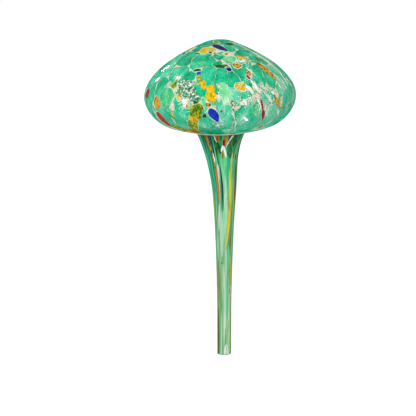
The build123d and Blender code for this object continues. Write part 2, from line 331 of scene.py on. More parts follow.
def ramp(tree, share, stops):
    """A colour out of stops, each a place from 0 to 1 and a hex colour."""
    node = add_node(tree, "ShaderNodeValToRGB", {"Fac": share})
    for index, (place, code) in enumerate(stops):
        if index > 1:
            node.color_ramp.elements.new(place)
        node.color_ramp.elements[index].position = place
        node.color_ramp.elements[index].color = linear(code)
    return node.outputs["Color"]


def blend(tree, share, one, other):
    return add_node(tree, "ShaderNodeMix", {0: share, 6: one, 7: other}, data_type="RGBA").outputs[2]


def new_material(name):
    material = bpy.data.materials.new(name)
    material.use_nodes = True
    tree = material.node_tree
    return material, tree, tree.nodes["Principled BSDF"]


def new_glass(name):
    """Fire-polished soda glass: index 1.52, nearly a mirror, with no white veil along the outline."""
    material, tree, shader = new_material(name)
    # The plain specular level is for an export that drops the fade towards the outline
    set_inputs(tree, shader, {"IOR": 1.52, "Roughness": 0.05, "Specular IOR Level": 0.05})
    sight = add_node(tree, "ShaderNodeLayerWeight", {"Blend": 0.5})
    gloss = add_node(tree, "ShaderNodeMapRange", {
        "Value": sight.outputs["Facing"], "From Min": 0.35, "From Max": 0.75, "To Min": 0.1, "To Max": 0.0})
    set_inputs(tree, shader, {"Specular IOR Level": gloss.outputs[0]})
    return material, tree, shader


def rising(value, start, reach):
    """0 up to the start, 1 past the reach after it, and a straight rise between."""
    return np.clip((value - start) / reach, 0, 1)


number_step = 12.9898
salt_step = 78.233
hash_size = 43758.5453


def hashed(number, salt):
    """A repeatable share from 0 to 1."""
    return (math.sin(number * number_step + salt * salt_step) * hash_size) % 1.0


def picked(number, salt, limits):
    """A repeatable value between two limits."""
    return limits[0] + (limits[1] - limits[0]) * hashed(number, salt)


def uneven(number, salt, spread):
    """A repeatable share that is often 0."""
    return max(0.0, spread[0] * hashed(number, salt) - spread[1])


# The cap's half outline from the apex to the crease, as shares of its diameter and height
outline_shares = [(0.1228, 0.9495), (0.2898, 0.8146), (0.437, 0.623), (0.5, 0.4023), (0.4189, 0.1475)]
outline_knots = [(0, cap_height)]
outline_knots += [(cap_diameter * reach, cap_height * rise) for reach, rise in outline_shares]
outline_knots += [(crease_radius, 0)]
apex_direction = (1, 0)
crease_direction = (-1, -0.2)
knot_steps = 120


def smooth_curve(knots, start, end, count):
    """Points of a smooth curve through the knots that leaves and arrives in the given directions."""
    knots = np.array(knots, float)
    chords = np.linalg.norm(np.diff(knots, axis=0), axis=1)
    last = len(knots) - 1
    matrix = np.eye(last + 1)
    right = np.zeros((last + 1, 2))
    right[0] = np.array(start) / np.linalg.norm(start)
    right[last] = np.array(end) / np.linalg.norm(end)
    for index in range(1, last):
        before = chords[index - 1]
        after = chords[index]
        matrix[index, index - 1:index + 2] = after, 2 * (before + after), before
        arriving = (knots[index] - knots[index - 1]) * after / before
        leaving = (knots[index + 1] - knots[index]) * before / after
        right[index] = 3 * (arriving + leaving)
    slopes = np.linalg.solve(matrix, right)
    points = [knots[:1]]
    t = np.linspace(0, 1, count)[1:, None]
    for index, chord in enumerate(chords):
        places = knots[index] * (2 * t ** 3 - 3 * t ** 2 + 1) + knots[index + 1] * (3 * t ** 2 - 2 * t ** 3)
        leaving = slopes[index] * chord * (t ** 3 - 2 * t ** 2 + t)
        arriving = slopes[index + 1] * chord * (t ** 3 - t ** 2)
        points.append(places + leaving + arriving)
    return np.vstack(points)


meridian = smooth_curve(outline_knots, apex_direction, crease_direction, knot_steps)
meridian_runs = np.diff(meridian, axis=0)
meridian_places = np.concatenate([[0], np.cumsum(np.linalg.norm(meridian_runs, axis=1))])
meridian_length = meridian_places[-1]
meridian_runs = np.vstack([meridian_runs, meridian_runs[-1:]])
meridian_runs /= np.linalg.norm(meridian_runs, axis=1)[:, None]


def along_meridian(distance, column, rows=meridian):
    return np.interp(distance, meridian_places, rows[:, column])


def cap_surface(flat, lift):
    """Places and normals on the cap. Flat places are complex: distance from the apex and azimuth."""
    flat = np.asarray(flat, complex)
    distance = np.abs(flat)
    turn = np.angle(flat)
    out = -along_meridian(distance, 1, meridian_runs)
    up = along_meridian(distance, 0, meridian_runs)
    facing = np.cos(turn)
    lift = lift - front_drop * np.clip(facing, 0, 1) ** 2 - back_drop * np.clip(-facing, 0, 1) ** 2
    lift = lift - side_drop - apex_dip * np.exp(-(distance / apex_reach) ** 2)
    radius = along_meridian(distance, 0) + lift * out
    height = along_meridian(distance, 1) + lift * up
    places = np.stack([radius * np.sin(turn), -radius * np.cos(turn), height], -1)
    normals = np.stack([out * np.sin(turn), -out * np.cos(turn), up], -1)
    cosine = math.cos(cap_tilt)
    sine = math.sin(cap_tilt)
    tilt = np.array([[cosine, 0, sine], [0, 1, 0], [-sine, 0, cosine]])
    return (places @ tilt.T + [-lean, 0, stem_length]) * MM, normals @ tilt.T


# Places on the unrolled cap
least_radius = 0.5


def flat_place(azimuth, share):
    return cmath.rect(share * meridian_length, math.radians(azimuth))


def stretch_at(place):
    """How much wider the unrolled cap is than the real one."""
    return abs(place) / max(float(along_meridian(abs(place), 0)), least_radius)


def flat_gap(real_length, place, direction):
    """A length on the cap, measured on the unrolled cap."""
    turned = direction * place.conjugate() / abs(place)
    return real_length / math.hypot(turned.real, turned.imag / stretch_at(place))


def dot(one, other):
    return (one.conjugate() * other).real


# Pieces
def new_object(name, data):
    thing = bpy.data.objects.new(name, data)
    bpy.context.scene.collection.objects.link(thing)
    return thing


def place_piece(name, mesh, replaced=()):
    """Puts a finished mesh on the object."""
    piece = new_object(name, mesh)
    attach(piece, "root")
    if replaced:
        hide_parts(*replaced)
    return piece


def make_piece(name, vertices, faces, material, replaced=(), normals=None, values=None):
    """A dressed piece of the object with its surface values as attributes."""
    mesh = bpy.data.meshes.new(name)
    mesh.from_pydata(np.asarray(vertices).tolist(), [], faces)
    mesh.shade_smooth()
    for key, value in (values or {}).items():
        value = np.asarray(value, np.float32)
        if value.ndim == 1:
            mesh.attributes.new(key, "FLOAT", "POINT").data.foreach_set("value", value)
        else:
            mesh.attributes.new(key, "FLOAT_VECTOR", "POINT").data.foreach_set("vector", value.ravel())
    mesh.update()
    if normals is not None:
        mesh.normals_split_custom_set_from_vertices(np.asarray(normals).tolist())
    mesh.materials.append(material)
    return place_piece(name, mesh, replaced)


def ring_faces(rings, around, closed=False):
    """Faces between rings of points, and from the last ring to the first where that closes the shape."""
    faces = []
    for ring in range(rings if closed else rings - 1):
        low = ring * around
        high = (ring + 1) % rings * around
        for step in range(around):
            following = (step + 1) % around
            faces.append((low + step, high + step, high + following, low + following))
    return faces


def new_part():
    return {"rows": [], "faces": [], "count": 0}


def add_rows(part, columns, faces):
    """Adds points, with one column for each of their values, and faces to a piece in the making."""
    start = part["count"]
    part["rows"].append(np.stack(columns, -1))
    part["faces"] += [tuple(start + corner for corner in face) for face in faces]
    part["count"] += len(columns[0])


# Shades of the coloured glass from deep to pale, and the size of its clouds in millimetres
glass_shades = {
    "jade": ["#02784e", "#04af7b", "#28c795", "#6bd6ad", "#c6f1da"],
    "mint": ["#2ca378", "#48c17e", "#67d38c", "#8cdea1", "#c8f1cd"],
    "forest": ["#02280a", "#06470f", "#0a5c1a", "#1d6f2c", "#3f8a4c"],
    "yellow": ["#96920e", "#bfa60e", "#eccb14", "#edc816", "#e89c10"],
    "amber": ["#5f4a08", "#b07410", "#e08f10", "#e2b016", "#b8b01a"],
    "olive": ["#3a6408", "#5c8a0a", "#80a010", "#9aa812", "#ccb416"],
    "cobalt": ["#0a2598", "#0b38ba", "#0e42c6", "#2458d2", "#6f97e6"],
    "navy": ["#05053c", "#0a0868", "#0d0c80", "#141c94", "#3247b0"],
    "red": ["#7a0a0c", "#a51214", "#bd1f18", "#cf3c20", "#dd6a3a"],
    "white": ["#a9cdb2", "#cfe0cb", "#eeeee0", "#f6f6ee", "#fbfbf6"],
    "teal": ["#05303a", "#0a444c", "#0d5c5c", "#1f7d72", "#55a596"],
}
cloud_sizes = {"jade": 9.0, "mint": 6.0, "white": 6.0}
accent_cloud_size = 3.0
mottled_colours = ("yellow", "amber", "olive")

# Patterns in the glass: scale along the stem, depth of clouds, depth of grains and size of grains
glass_patterns = {
    "milky": (0.5, 1.5, 0.8, 1.1),
    "mottled": (0.5, 2.6, 2.6, 1.5),
    "drawn": (0.05, 1.2, 1.0, 1.5),
}
edge_sharpness = 12.0
edge_depth = 0.55


def chip_glass(colour, pattern):
    """Coloured soda glass: clouds and grains run through its shades, drawn long in the stem's threads."""
    material, tree, shader = new_glass(f"{pattern}_{colour}_glass")
    shades = glass_shades[colour]
    cloud_size = cloud_sizes.get(colour, accent_cloud_size)
    along, depth, mottle, mottle_size = glass_patterns[pattern]
    drawn = add_node(tree, "ShaderNodeMapping", {
        "Vector": object_place(tree), "Scale": (1.0, 1.0, along)}).outputs[0]
    cloud = noise(tree, drawn, cloud_size * MM, detail=3.0, roughness=0.6)
    grain = noise(tree, drawn, mottle_size * MM)
    clouded = reckon(tree, "MULTIPLY_ADD", cloud, depth, painted(tree, "tint"))
    grained = reckon(tree, "MULTIPLY_ADD", grain, mottle, clouded)
    centred = reckon(tree, "SUBTRACT", grained, (depth + mottle) / 2)
    steps = [(index / (len(shades) - 1), shade) for index, shade in enumerate(shades)]
    edge = reckon(tree, "POWER", painted(tree, "rim"), edge_sharpness)
    edge_share = reckon(tree, "MULTIPLY", edge, edge_depth)
    mixed = blend(tree, edge_share, ramp(tree, centred, steps), linear(shades[0]))
    set_inputs(tree, shader, {"Base Color": mixed})
    return material


chip_materials = {}
for glass_colour in glass_shades:
    if glass_colour != "teal":
        pattern_name = "mottled" if glass_colour in mottled_colours else "milky"
        chip_materials[glass_colour] = chip_glass(glass_colour, pattern_name)

vein_size = 5.0
grit_size = 1.1


def frit_glass():
    """Ground soda glass melted on: a milky cream with green veins, dark and pale grit, and a white that is
    frosted frit in patches and a painted highlight at the crease and along the right shoulder.
    """
    material, tree, shader = new_glass("cream_frit_glass")
    place = object_place(tree)
    cream = ramp(tree, noise(tree, place, vein_size * MM, detail=4.0), [
        (0.34, "#2fae80"), (0.45, "#8fcaa0"), (0.52, "#cfdcb2"), (0.60, "#dfd3b4"), (0.70, "#f4f0dc")])
    grit = add_node(tree, "ShaderNodeTexVoronoi", {
        "Vector": place, "Scale": 1 / (grit_size * MM), "Randomness": 1.0})
    dark = ramp(tree, grit.outputs["Color"], [
        (0.2, "#1b5232"), (0.42, "#4a8f6a"), (0.58, "#74ae8a"), (0.72, "#b0d0b2"), (0.86, "#fbfbf2")])
    speckled = blend(tree, painted(tree, "speckle"), cream, dark)
    # The white is frosted frit in patches and a painted highlight at the crease and along the right
    # shoulder
    frosted = blend(tree, painted(tree, "frost_and_highlight"), speckled, linear("#fbfaf2"))
    set_inputs(tree, shader, {"Base Color": frosted})
    return material


frit_material = frit_glass()


def grain_field(flat, frost_share, speckle_share):
    """How thickly frit grains lie in and round the patches, from 0 to 1."""
    strength = np.zeros(len(flat))
    for azimuth, share, length, width, slant, frost_and_highlight, speckle in frit_patches:
        centre = flat_place(azimuth, share)
        turned = (flat - centre) * np.conj(centre) / abs(centre)
        across = turned.imag / stretch_at(centre)
        away = np.hypot(turned.real * 2 / length, across * 2 / width) / grain_reach
        amount = frost_share * frost_and_highlight + speckle_share * speckle
        strength = np.maximum(strength, amount * np.clip(grain_fade - grain_fade * away ** 2, 0, 1))
    return strength


# The frit bed, with a white band at the crease that is a painted highlight on the cap's rim
bed_rings = 110
bed_around = 200
apex_start = 0.4
crease_gap = 0.05
apex_point = 0.001
highlight_band_start = 0.972
highlight_band_fade = 0.01
highlight_band_white = 0.8


def make_bed():
    """The frit bed as a thin closed shell just under the chips' tops."""
    distances = np.linspace(apex_start, meridian_length - crease_gap, bed_rings)
    turns = np.exp(1j * np.linspace(0, math.tau, bed_around, endpoint=False))
    outer = (distances[:, None] * turns).ravel()
    inner = (distances[::-1, None] * turns).ravel()
    flat = np.concatenate([outer, inner, [apex_point, apex_point]])
    lift = np.full(len(flat), -bed_bottom)
    lift[:len(outer)] = -bed_drop
    lift[-2] = -bed_drop
    places, normals = cap_surface(flat, lift)
    normals[len(outer):-2] *= -1
    normals[-1] *= -1
    faces = ring_faces(2 * bed_rings, bed_around)
    last = (2 * bed_rings - 1) * bed_around
    for step in range(bed_around):
        following = (step + 1) % bed_around
        faces.append((len(flat) - 2, step, following))
        faces.append((len(flat) - 1, last + following, last + step))
    # The white band at the crease is a painted highlight on the cap's rim
    values = {"frost_and_highlight": highlight_band_white * rising(np.abs(flat) / meridian_length, highlight_band_start, highlight_band_fade)}
    outside = np.arange(len(flat)) < len(outer)
    for colour, shares in grain_shares.items():
        values[f"{colour}_grains"] = outside * grain_field(flat, *shares)
    return make_piece("cap_cased_bed", places, faces, frit_material, ["cap_frit_bed"],
                      normals, values)


bed = make_bed()

# Chips on the unrolled cap
oval_steps = 24


def oval(number, azimuth, share, length, width, slant, wave_size, taper=0.0):
    """Centre and wavy outline of one chip: an oval, or a drop narrowed to its low end."""
    centre = flat_place(azimuth, share)
    down = centre / abs(centre)
    stretch = stretch_at(centre)
    tilt = cmath.rect(1, math.radians(slant))
    phases = [math.tau * hashed(number, salt) for salt in (1, 2)]
    points = []
    for step in range(oval_steps):
        turn = math.tau * step / oval_steps
        wave = 1 + wave_size * (math.sin(2 * turn + phases[0]) + math.sin(3 * turn + phases[1]))
        wave += fifth_wave * wave_size * math.sin(5 * turn + phases[0] + phases[1])
        narrowed = width * (1 - taper * max(0.0, math.cos(turn)))
        local = complex(length / 2 * math.cos(turn), narrowed / 2 * math.sin(turn)) * wave * tilt
        points.append(centre + down * complex(local.real, local.imag * stretch))
    return centre, points


def clip(points, limit, direction):
    """Keeps the part of an outline on the near side of a line."""
    kept = []
    for index, here in enumerate(points):
        before = points[index - 1]
        here_over = dot(here - limit, direction)
        before_over = dot(before - limit, direction)
        if here_over * before_over < 0:
            kept.append(before + (here - before) * (before_over / (before_over - here_over)))
        if here_over <= 0:
            kept.append(here)
    return kept


def shared_limit(centre, points, other_centre, other_points, seam_size):
    """Line between two chips of equal rank, nearer to the smaller one."""
    gap = abs(other_centre - centre)
    direction = (other_centre - centre) / gap
    mine = max(dot(point - centre, direction) for point in points)
    theirs = max(dot(other_centre - point, direction) for point in other_points)
    seam = flat_gap(seam_size, (centre + other_centre) / 2, direction)
    if mine + theirs + seam <= gap:
        return None, direction
    return centre + direction * (gap * mine / (mine + theirs) - seam / 2), direction


chips = []


def add_chip(colour, azimuth, share, length, width, slant=0):
    """Adds one chip, before its neighbours cut it."""
    growth = cell_growth if colour == "jade" else 1.0
    wave_size = outline_waves.get(colour, plain_wave)
    taper = drop_taper if colour in drop_colours else 0.0
    size = length * growth, width * growth
    centre, points = oval(len(chips), azimuth, share, *size, slant, wave_size, taper)
    chips.append((colour, centre, points))


def spiral_places(count, start):
    """Number, azimuth, share and how narrow the cap is there, for the places of one spiral on the back."""
    pitch = math.sqrt(math.pi / count)
    for number in range(count):
        share = spiral_reach * math.sqrt((number + 0.5) / count)
        azimuth = (number * golden_angle) % 360
        azimuth += spiral_jitter * (hashed(number, 12) - 0.5) * math.degrees(pitch / share)
        share += spiral_jitter * (hashed(number, 13) - 0.5) * pitch
        if start < azimuth < 360 - start and share < spiral_limit:
            yield number, azimuth, share, 1 / stretch_at(flat_place(azimuth, share))


def wobbled(number, beat, length, width, slant):
    """Length, width and slant of one chip of the back."""
    wobble = math.sin(number * beat)
    return length[0] + length[1] * wobble, width[0] + width[1] * wobble, slant * wobble


def add_back_chips():
    """Large accents on one spiral, then cells and small accents on a finer one."""
    pitch = meridian_length * math.sqrt(math.pi / spiral_count)
    accents = 0
    for number, azimuth, share, squeeze in spiral_places(spiral_count, back_start):
        if number % accent_every == 1:
            length, width, slant = wobbled(number, accent_beat, *accent_sizes)
            colour = back_accents[accents % len(back_accents)]
            add_chip(colour, azimuth, share, pitch * length, pitch * squeeze * width, slant)
            accents += 1
    pitch = meridian_length * math.sqrt(math.pi / fine_count)
    for number, azimuth, share, squeeze in spiral_places(fine_count, fine_start):
        length, width, slant = wobbled(number, cell_beat, *back_cell_sizes)
        add_chip("jade", azimuth, share, pitch * length, pitch * squeeze * width, slant)
        if number % small_accent_every == 1:
            side = azimuth + math.degrees(0.5 * pitch / (share * meridian_length))
            colour = back_accents[(3 * number + 1) % len(back_accents)]
            add_chip(colour, side, share, *wobbled(number, cell_beat, *small_accent_sizes))


for chip_colour, chip_rows in front_chips.items():
    for chip_row in chip_rows:
        add_chip(chip_colour, *chip_row)
add_back_chips()


def apart(points, other_points):
    """Whether two outlines stay clear of each other."""
    return min(abs(here - there) for here in points for there in other_points) > clear_gap


def chip_outline(index):
    """The chip's outline after its neighbours have cut it back."""
    colour, centre, points = chips[index]
    outline = points
    for other, (other_colour, other_centre, other_points) in enumerate(chips):
        if other == index or abs(other_centre - centre) > neighbour_reach:
            continue
        if (colour == "jade") != (other_colour == "jade") or colour in drop_colours:
            continue
        seam_size = seam_width * uneven(index + other, 4, seam_spread)
        limit, direction = shared_limit(centre, points, other_centre, other_points, seam_size)
        if limit is None or (colour != "jade" and apart(points, other_points)):
            continue
        outline = clip(outline, limit, direction)
    down = centre / abs(centre)
    # Chips stop short of the crease, where the painted highlight band lies
    return clip(outline, down * highlight_band_share * meridian_length, down)


corner_rounding = 6


def evened(points, count):
    """The closed outline with evenly spaced points and rounded corners."""
    ring = np.array(list(points) + [points[0]])
    runs = np.concatenate([[0], np.cumsum(np.abs(np.diff(ring)))])
    spread = np.interp(np.linspace(0, runs[-1], count, endpoint=False), runs, ring)
    for turn in range(corner_rounding):
        spread = 0.25 * np.roll(spread, 1) + 0.5 * spread + 0.25 * np.roll(spread, -1)
    return spread


# Waves that bend all outlines together: turns per millimetre across and along, and phase
ripples = [(0.52, 0.31, 0.0), (-0.37, 0.66, 1.3), (0.83, -0.45, 2.1), (0.21, 0.95, 4.0)]
point_pitch = 1.2
fewest_points = 20
most_points = 80


def cell_points(points, bend=ripple_size):
    """The outline evened and bent by one field of waves, so that neighbours stay parallel."""
    girth = sum(abs(here - points[place - 1]) for place, here in enumerate(points))
    outline = evened(points, int(min(max(girth / point_pitch, fewest_points), most_points)))
    shift = np.zeros(len(outline), complex)
    for across_turns, along_turns, phase in ripples:
        wave = np.sin(outline.real * across_turns + outline.imag * along_turns + phase)
        shift += np.exp(1j * phase) * wave
    return outline + bend * shift


ring_pitch = 2.2
top_share = 0.9


def chip_mesh(outline, drop):
    """Flat places, lifts, rim values and faces of one closed chip with a flush top."""
    middle = outline.mean()
    around = len(outline)
    reach = np.abs(outline - middle).max()
    rings = max(3, int(reach / ring_pitch) + 2)
    sizes = np.concatenate([[1.0, 1.0, top_share], np.linspace(top_share, 0, rings)[1:-1]])
    lifts = [-chip_seat, -drop - rim_drop] + [-drop] * (len(sizes) - 2)
    flat = (middle + (outline - middle) * sizes[:, None]).ravel()
    flat = np.concatenate([flat, [middle, middle]])
    lift = np.concatenate([np.repeat(lifts, around), [-drop, -chip_seat]])
    rim = np.concatenate([np.repeat(sizes, around), [0.0, 0.0]])
    faces = ring_faces(len(sizes), around)
    last = (len(sizes) - 1) * around
    for step in range(around):
        following = (step + 1) % around
        faces.append((last + step, last + around, last + following))
        faces.append((following, last + around + 1, step))
    return flat, lift, rim, [face[::-1] for face in faces]


# Shades of the chips: jade ones carry a painted light and shade by the share of the way down, and a milky
# bloom lies in the front
shade_start = 0.13
shade_spread = 0.34
mottled_rise = 0.15
jade_shade_places = [0, 0.25, 0.45, 0.6, 0.82, 0.9]
jade_painted_light_and_shade = [-0.02, 0.05, 0.14, 0.34, 0.28, -0.06]
bloom_place = flat_place(3.4, 0.55)
bloom_reach = 7.0
bloom_shade = 0.27


def chip_tint(colour, number, middle):
    """Shade of one chip: on jade a painted shade, deep at the apex and under the cap, and a painted light
    low on its flank; paler in the bloom.
    """
    shade = shade_start + shade_spread * hashed(number, 3)
    if colour in mottled_colours:
        shade += mottled_rise
    if colour == "jade":
        # Painted light and shade on jade: deep at the apex and under the cap, paler low on its flank
        shade += np.interp(abs(middle) / meridian_length, jade_shade_places, jade_painted_light_and_shade)
    return shade + bloom_shade * math.exp(-(abs(middle - bloom_place) / bloom_reach) ** 2)


def add_cell(part, outline, drop, values):
    """Adds one chip to a piece, with its surface values."""
    flat, lift, rim, faces = chip_mesh(outline, drop)
    columns = [np.full(len(flat), value) for value in values]
    add_rows(part, [flat.real, flat.imag, lift, rim] + columns, faces)


def make_cells(name, part, value_names, material, replaced=()):
    rows = np.concatenate(part["rows"])
    places, normals = cap_surface(rows[:, 0] + 1j * rows[:, 1], rows[:, 2])
    values = dict(zip(value_names, rows[:, 3:].T))
    make_piece(name, places, part["faces"], material, replaced, normals, values)


least_corners = 4
least_reach = 0.9


def make_chips():
    """One piece for each colour, which stands for the solids of that colour, and the frit round them."""
    parts = {colour: new_part() for colour in front_chips}
    frit = new_part()
    for number, (azimuth, share, length, width, slant, frost_and_highlight, speckle) in enumerate(frit_patches):
        core = patch_core if width > streak_width and frost_and_highlight > speckle else 1.0
        size = length * core, width * core
        centre, points = oval(number + patch_salt, azimuth, share, *size, slant, patch_wave)
        add_cell(frit, cell_points(points), frit_drop - frost_lift * frost_and_highlight, (frost_and_highlight, speckle))
    for index, (colour, centre, points) in enumerate(chips):
        cut = chip_outline(index)
        if len(cut) < least_corners:
            continue
        outline = cell_points(cut, drop_bend if colour in drop_colours else ripple_size)
        middle = outline.mean()
        if np.abs(outline - middle).max() < least_reach:
            continue
        drop = -drop_lift if colour in drop_colours else 0.0
        if colour == "jade":
            drop = cell_drop
        else:
            halo = halo_width * uneven(index, 11, halo_spread)
            if halo > least_halo:
                rim = middle + (outline - middle) * (1 + halo / np.abs(outline - middle))
                add_cell(frit, rim, halo_drop, (halo_frost, 0.0))
        add_cell(parts[colour], outline, drop, (chip_tint(colour, index, middle),))
    for colour, part in parts.items():
        make_cells(f"cap_{colour}_cells", part, ["rim", "tint"], chip_materials[colour],
                   [f"cap_{colour}_chips"])
    make_cells("cap_frit_patches", frit, ["rim", "frost_and_highlight", "speckle"], frit_material)


make_chips()

# Frit grains: flat beads of uneven shape and shade that stand just under the cap's outside
smallest_grain = (0.6, 0.4, 0.08)
largest_grain = (1.3, 0.9, 0.12)
deepest_grain = 0.2
palest_grain = 0.8
shade_seed = 7
grain_sink = 0.03


def scatter_grains(name, colour, density, size, seed):
    """Frit grains melted flush into the cap round its bare patches."""
    tree = bpy.data.node_groups.new(name, "GeometryNodeTree")
    kinds = {"Bed": "Geometry", "Density": "Float", "Grain size": "Float", "Lift": "Float", "Seed": "Int"}
    for label, kind in kinds.items():
        tree.interface.new_socket(label, in_out="INPUT", socket_type=f"NodeSocket{kind}")
    tree.interface.new_socket("Grains", in_out="OUTPUT", socket_type="NodeSocketGeometry")
    asked = add_node(tree, "NodeGroupInput").outputs
    field = add_node(tree, "GeometryNodeInputNamedAttribute", {
        "Name": f"{colour}_grains"}, data_type="FLOAT").outputs["Attribute"]
    thick = reckon(tree, "MULTIPLY", field, asked["Density"])
    points = add_node(tree, "GeometryNodeDistributePointsOnFaces", {
        "Mesh": asked["Bed"], "Density": thick, "Seed": asked["Seed"]}).outputs
    raised = add_node(tree, "GeometryNodeSetPosition", {
        "Geometry": points["Points"], "Offset": scaled(tree, points["Normal"], asked["Lift"])})
    bead = add_node(tree, "GeometryNodeMeshIcoSphere", {"Radius": 1.0, "Subdivisions": 2})
    shape = add_node(tree, "FunctionNodeRandomValue", {
        0: smallest_grain, 1: largest_grain, "Seed": asked["Seed"]}, data_type="FLOAT_VECTOR")
    placed = add_node(tree, "GeometryNodeInstanceOnPoints", {
        "Points": raised.outputs[0], "Instance": bead.outputs["Mesh"], "Rotation": points["Rotation"],
        "Scale": scaled(tree, shape.outputs[0], asked["Grain size"])})
    shade = add_node(tree, "FunctionNodeRandomValue", {
        2: deepest_grain, 3: palest_grain, "Seed": shade_seed}, data_type="FLOAT")
    tinted = add_node(tree, "GeometryNodeStoreNamedAttribute", {
        "Geometry": placed.outputs[0], "Name": "tint", "Value": shade.outputs[1]},
        data_type="FLOAT", domain="INSTANCE")
    whole = add_node(tree, "GeometryNodeRealizeInstances", {"Geometry": tinted.outputs[0]})
    glazed = add_node(tree, "GeometryNodeSetMaterial", {
        "Geometry": whole.outputs[0], "Material": chip_materials[colour]})
    add_node(tree, "NodeGroupOutput", {"Grains": glazed.outputs[0]})
    carrier = new_object(name, bed.data)
    modifier = carrier.modifiers.new("grains", "NODES")
    modifier.node_group = tree
    lift = (bed_drop - grain_sink) * MM
    wanted = {"Density": density, "Grain size": size * MM / 2, "Lift": lift, "Seed": seed}
    for item in tree.interface.items_tree:
        if item.name in wanted:
            modifier[item.identifier] = wanted[item.name]
    mesh = bpy.data.meshes.new_from_object(carrier.evaluated_get(bpy.context.evaluated_depsgraph_get()))
    bpy.data.objects.remove(carrier)
    mesh.shade_smooth()
    place_piece(name, mesh)


# Grains to the square metre, and their size in millimetres
scatter_grains("cap_white_grains", "white", density=600000.0, size=1.1, seed=3)
scatter_grains("cap_green_grains", "forest", density=700000.0, size=0.9, seed=8)

# The stem: its flare is a sum of two powers, and the skin over its stripes begins above the straight end
wide_flare = 0.6
wide_power = 2
steep_flare = 0.4
steep_power = 10
skin_share = 0.9
skin_rise = 20.0
slope_step = 0.5


def stem_radius(height):
    """Outside radius of the dressed stem."""
    rise = rising(height, straight_length, stem_length - straight_length)
    flare = crease_radius - stripe_depth - tip_radius
    skin = skin_share * stripe_depth * rising(height, straight_length, skin_rise)
    return tip_radius + flare * (wide_flare * rise ** wide_power + steep_flare * rise ** steep_power) + skin


def stem_lean(height):
    rise = rising(height, stem_length - lean_height, lean_height)
    return -lean * rise ** 2 * (3 - 2 * rise)


def stem_surface(turn, height, lift):
    """Places and normals on the stem for azimuths in radians and heights in millimetres."""
    radius = stem_radius(height) + lift
    slope = (stem_radius(height + slope_step) - stem_radius(height - slope_step)) / (2 * slope_step)
    places = np.stack([stem_lean(height) + radius * np.sin(turn), -radius * np.cos(turn), height], -1) * MM
    normals = np.stack([np.sin(turn), -np.cos(turn), -slope], -1)
    return places, normals / np.linalg.norm(normals, axis=-1, keepdims=True)


# Streaks of the stem: widths at the tip in millimetres, how little they change along it, and how the shade
# goes with height: pale below, green above, and a painted shade at the crease, where the cap shades the
# stem
broad_streak = 1.875
fine_streak = 2 / 3
streak_stretch = 0.9
pale_height = 100
pale_rise = 80
crease_shade_height = 168
crease_shade_rise = 18
crease_painted_shade = -0.17
fine_depth = 0.5


def stem_glass():
    """Drawn cane glass: green and milky streaks pulled long, with a painted shade at the flare under the
    cap, and pale towards the tip.
    """
    material, tree, shader = new_glass("drawn_stem_glass")
    flow = painted(tree, "flow", "Vector")
    broad = noise(tree, flow, broad_streak / tip_radius)
    fine = noise(tree, flow, fine_streak / tip_radius, detail=3.0, roughness=0.6)
    both = reckon(tree, "MULTIPLY_ADD", fine, fine_depth, broad)
    centred = reckon(tree, "SUBTRACT", both, fine_depth / 2)
    # Painted shade: the stem's top is darker where the cap shades it
    crease_shaded = reckon(tree, "MULTIPLY_ADD", painted(tree, "deep"), crease_painted_shade, centred)
    top = ramp(tree, crease_shaded, [
        (0.28, "#07603a"), (0.42, "#12a06b"), (0.52, "#35c088"), (0.60, "#6cd190"), (0.74, "#c4ecb6")])
    low = ramp(tree, centred, [
        (0.28, "#388e52"), (0.42, "#66aa76"), (0.52, "#88bd8a"), (0.60, "#a2cc9f"), (0.74, "#dceccb")])
    set_inputs(tree, shader, {"Base Color": blend(tree, painted(tree, "high"), low, top)})
    return material


stem_rings = 150
stem_around = 96
lip_steps = 5


def make_stem():
    """The stem as one closed tube with a rounded lip."""
    lip_turns = np.linspace(0, math.pi / 2, lip_steps)[1:]
    lip_heights = -lip_round * np.sin(lip_turns)
    lip_insets = lip_round - lip_round * np.cos(lip_turns)
    rise = np.linspace(stem_length, 0, stem_rings)
    heights = np.concatenate([rise, lip_heights, lip_heights[::-1], rise[::-1]])
    bore = np.full(stem_rings, -stem_wall)
    lifts = np.concatenate([np.zeros(stem_rings), -lip_insets, -stem_wall + lip_insets[::-1], bore])
    turns = np.linspace(0, math.tau, stem_around, endpoint=False)
    turn = np.tile(turns, len(heights))
    height = np.repeat(heights, stem_around)
    places, normals = stem_surface(turn, height, np.repeat(lifts, stem_around))
    faces = ring_faces(len(heights), stem_around, closed=True)
    values = {
        "flow": np.stack([np.sin(turn), -np.cos(turn), height / stem_length * streak_stretch], -1),
        "high": rising(height, pale_height, pale_rise),
        # deep marks the painted shade under the cap
        "deep": rising(height, crease_shade_height, crease_shade_rise),
    }
    make_piece("stem_drawn_tube", places, faces, stem_glass(), ["stem_tube"], None, values)


make_stem()

# Threads of the stem. Blue glass drawn thin over green looks dark teal
thread_materials = {}
for thread_colour in front_stripes:
    thread_glass = "teal" if thread_colour == "navy" else thread_colour
    thread_materials[thread_colour] = chip_glass(thread_glass, "drawn")
thread_columns = np.linspace(-1, 1, 9)
row_pitch = 2
fewest_rows = 8
pointed_ends = (0.01, 0.99)
square_end = 0.5


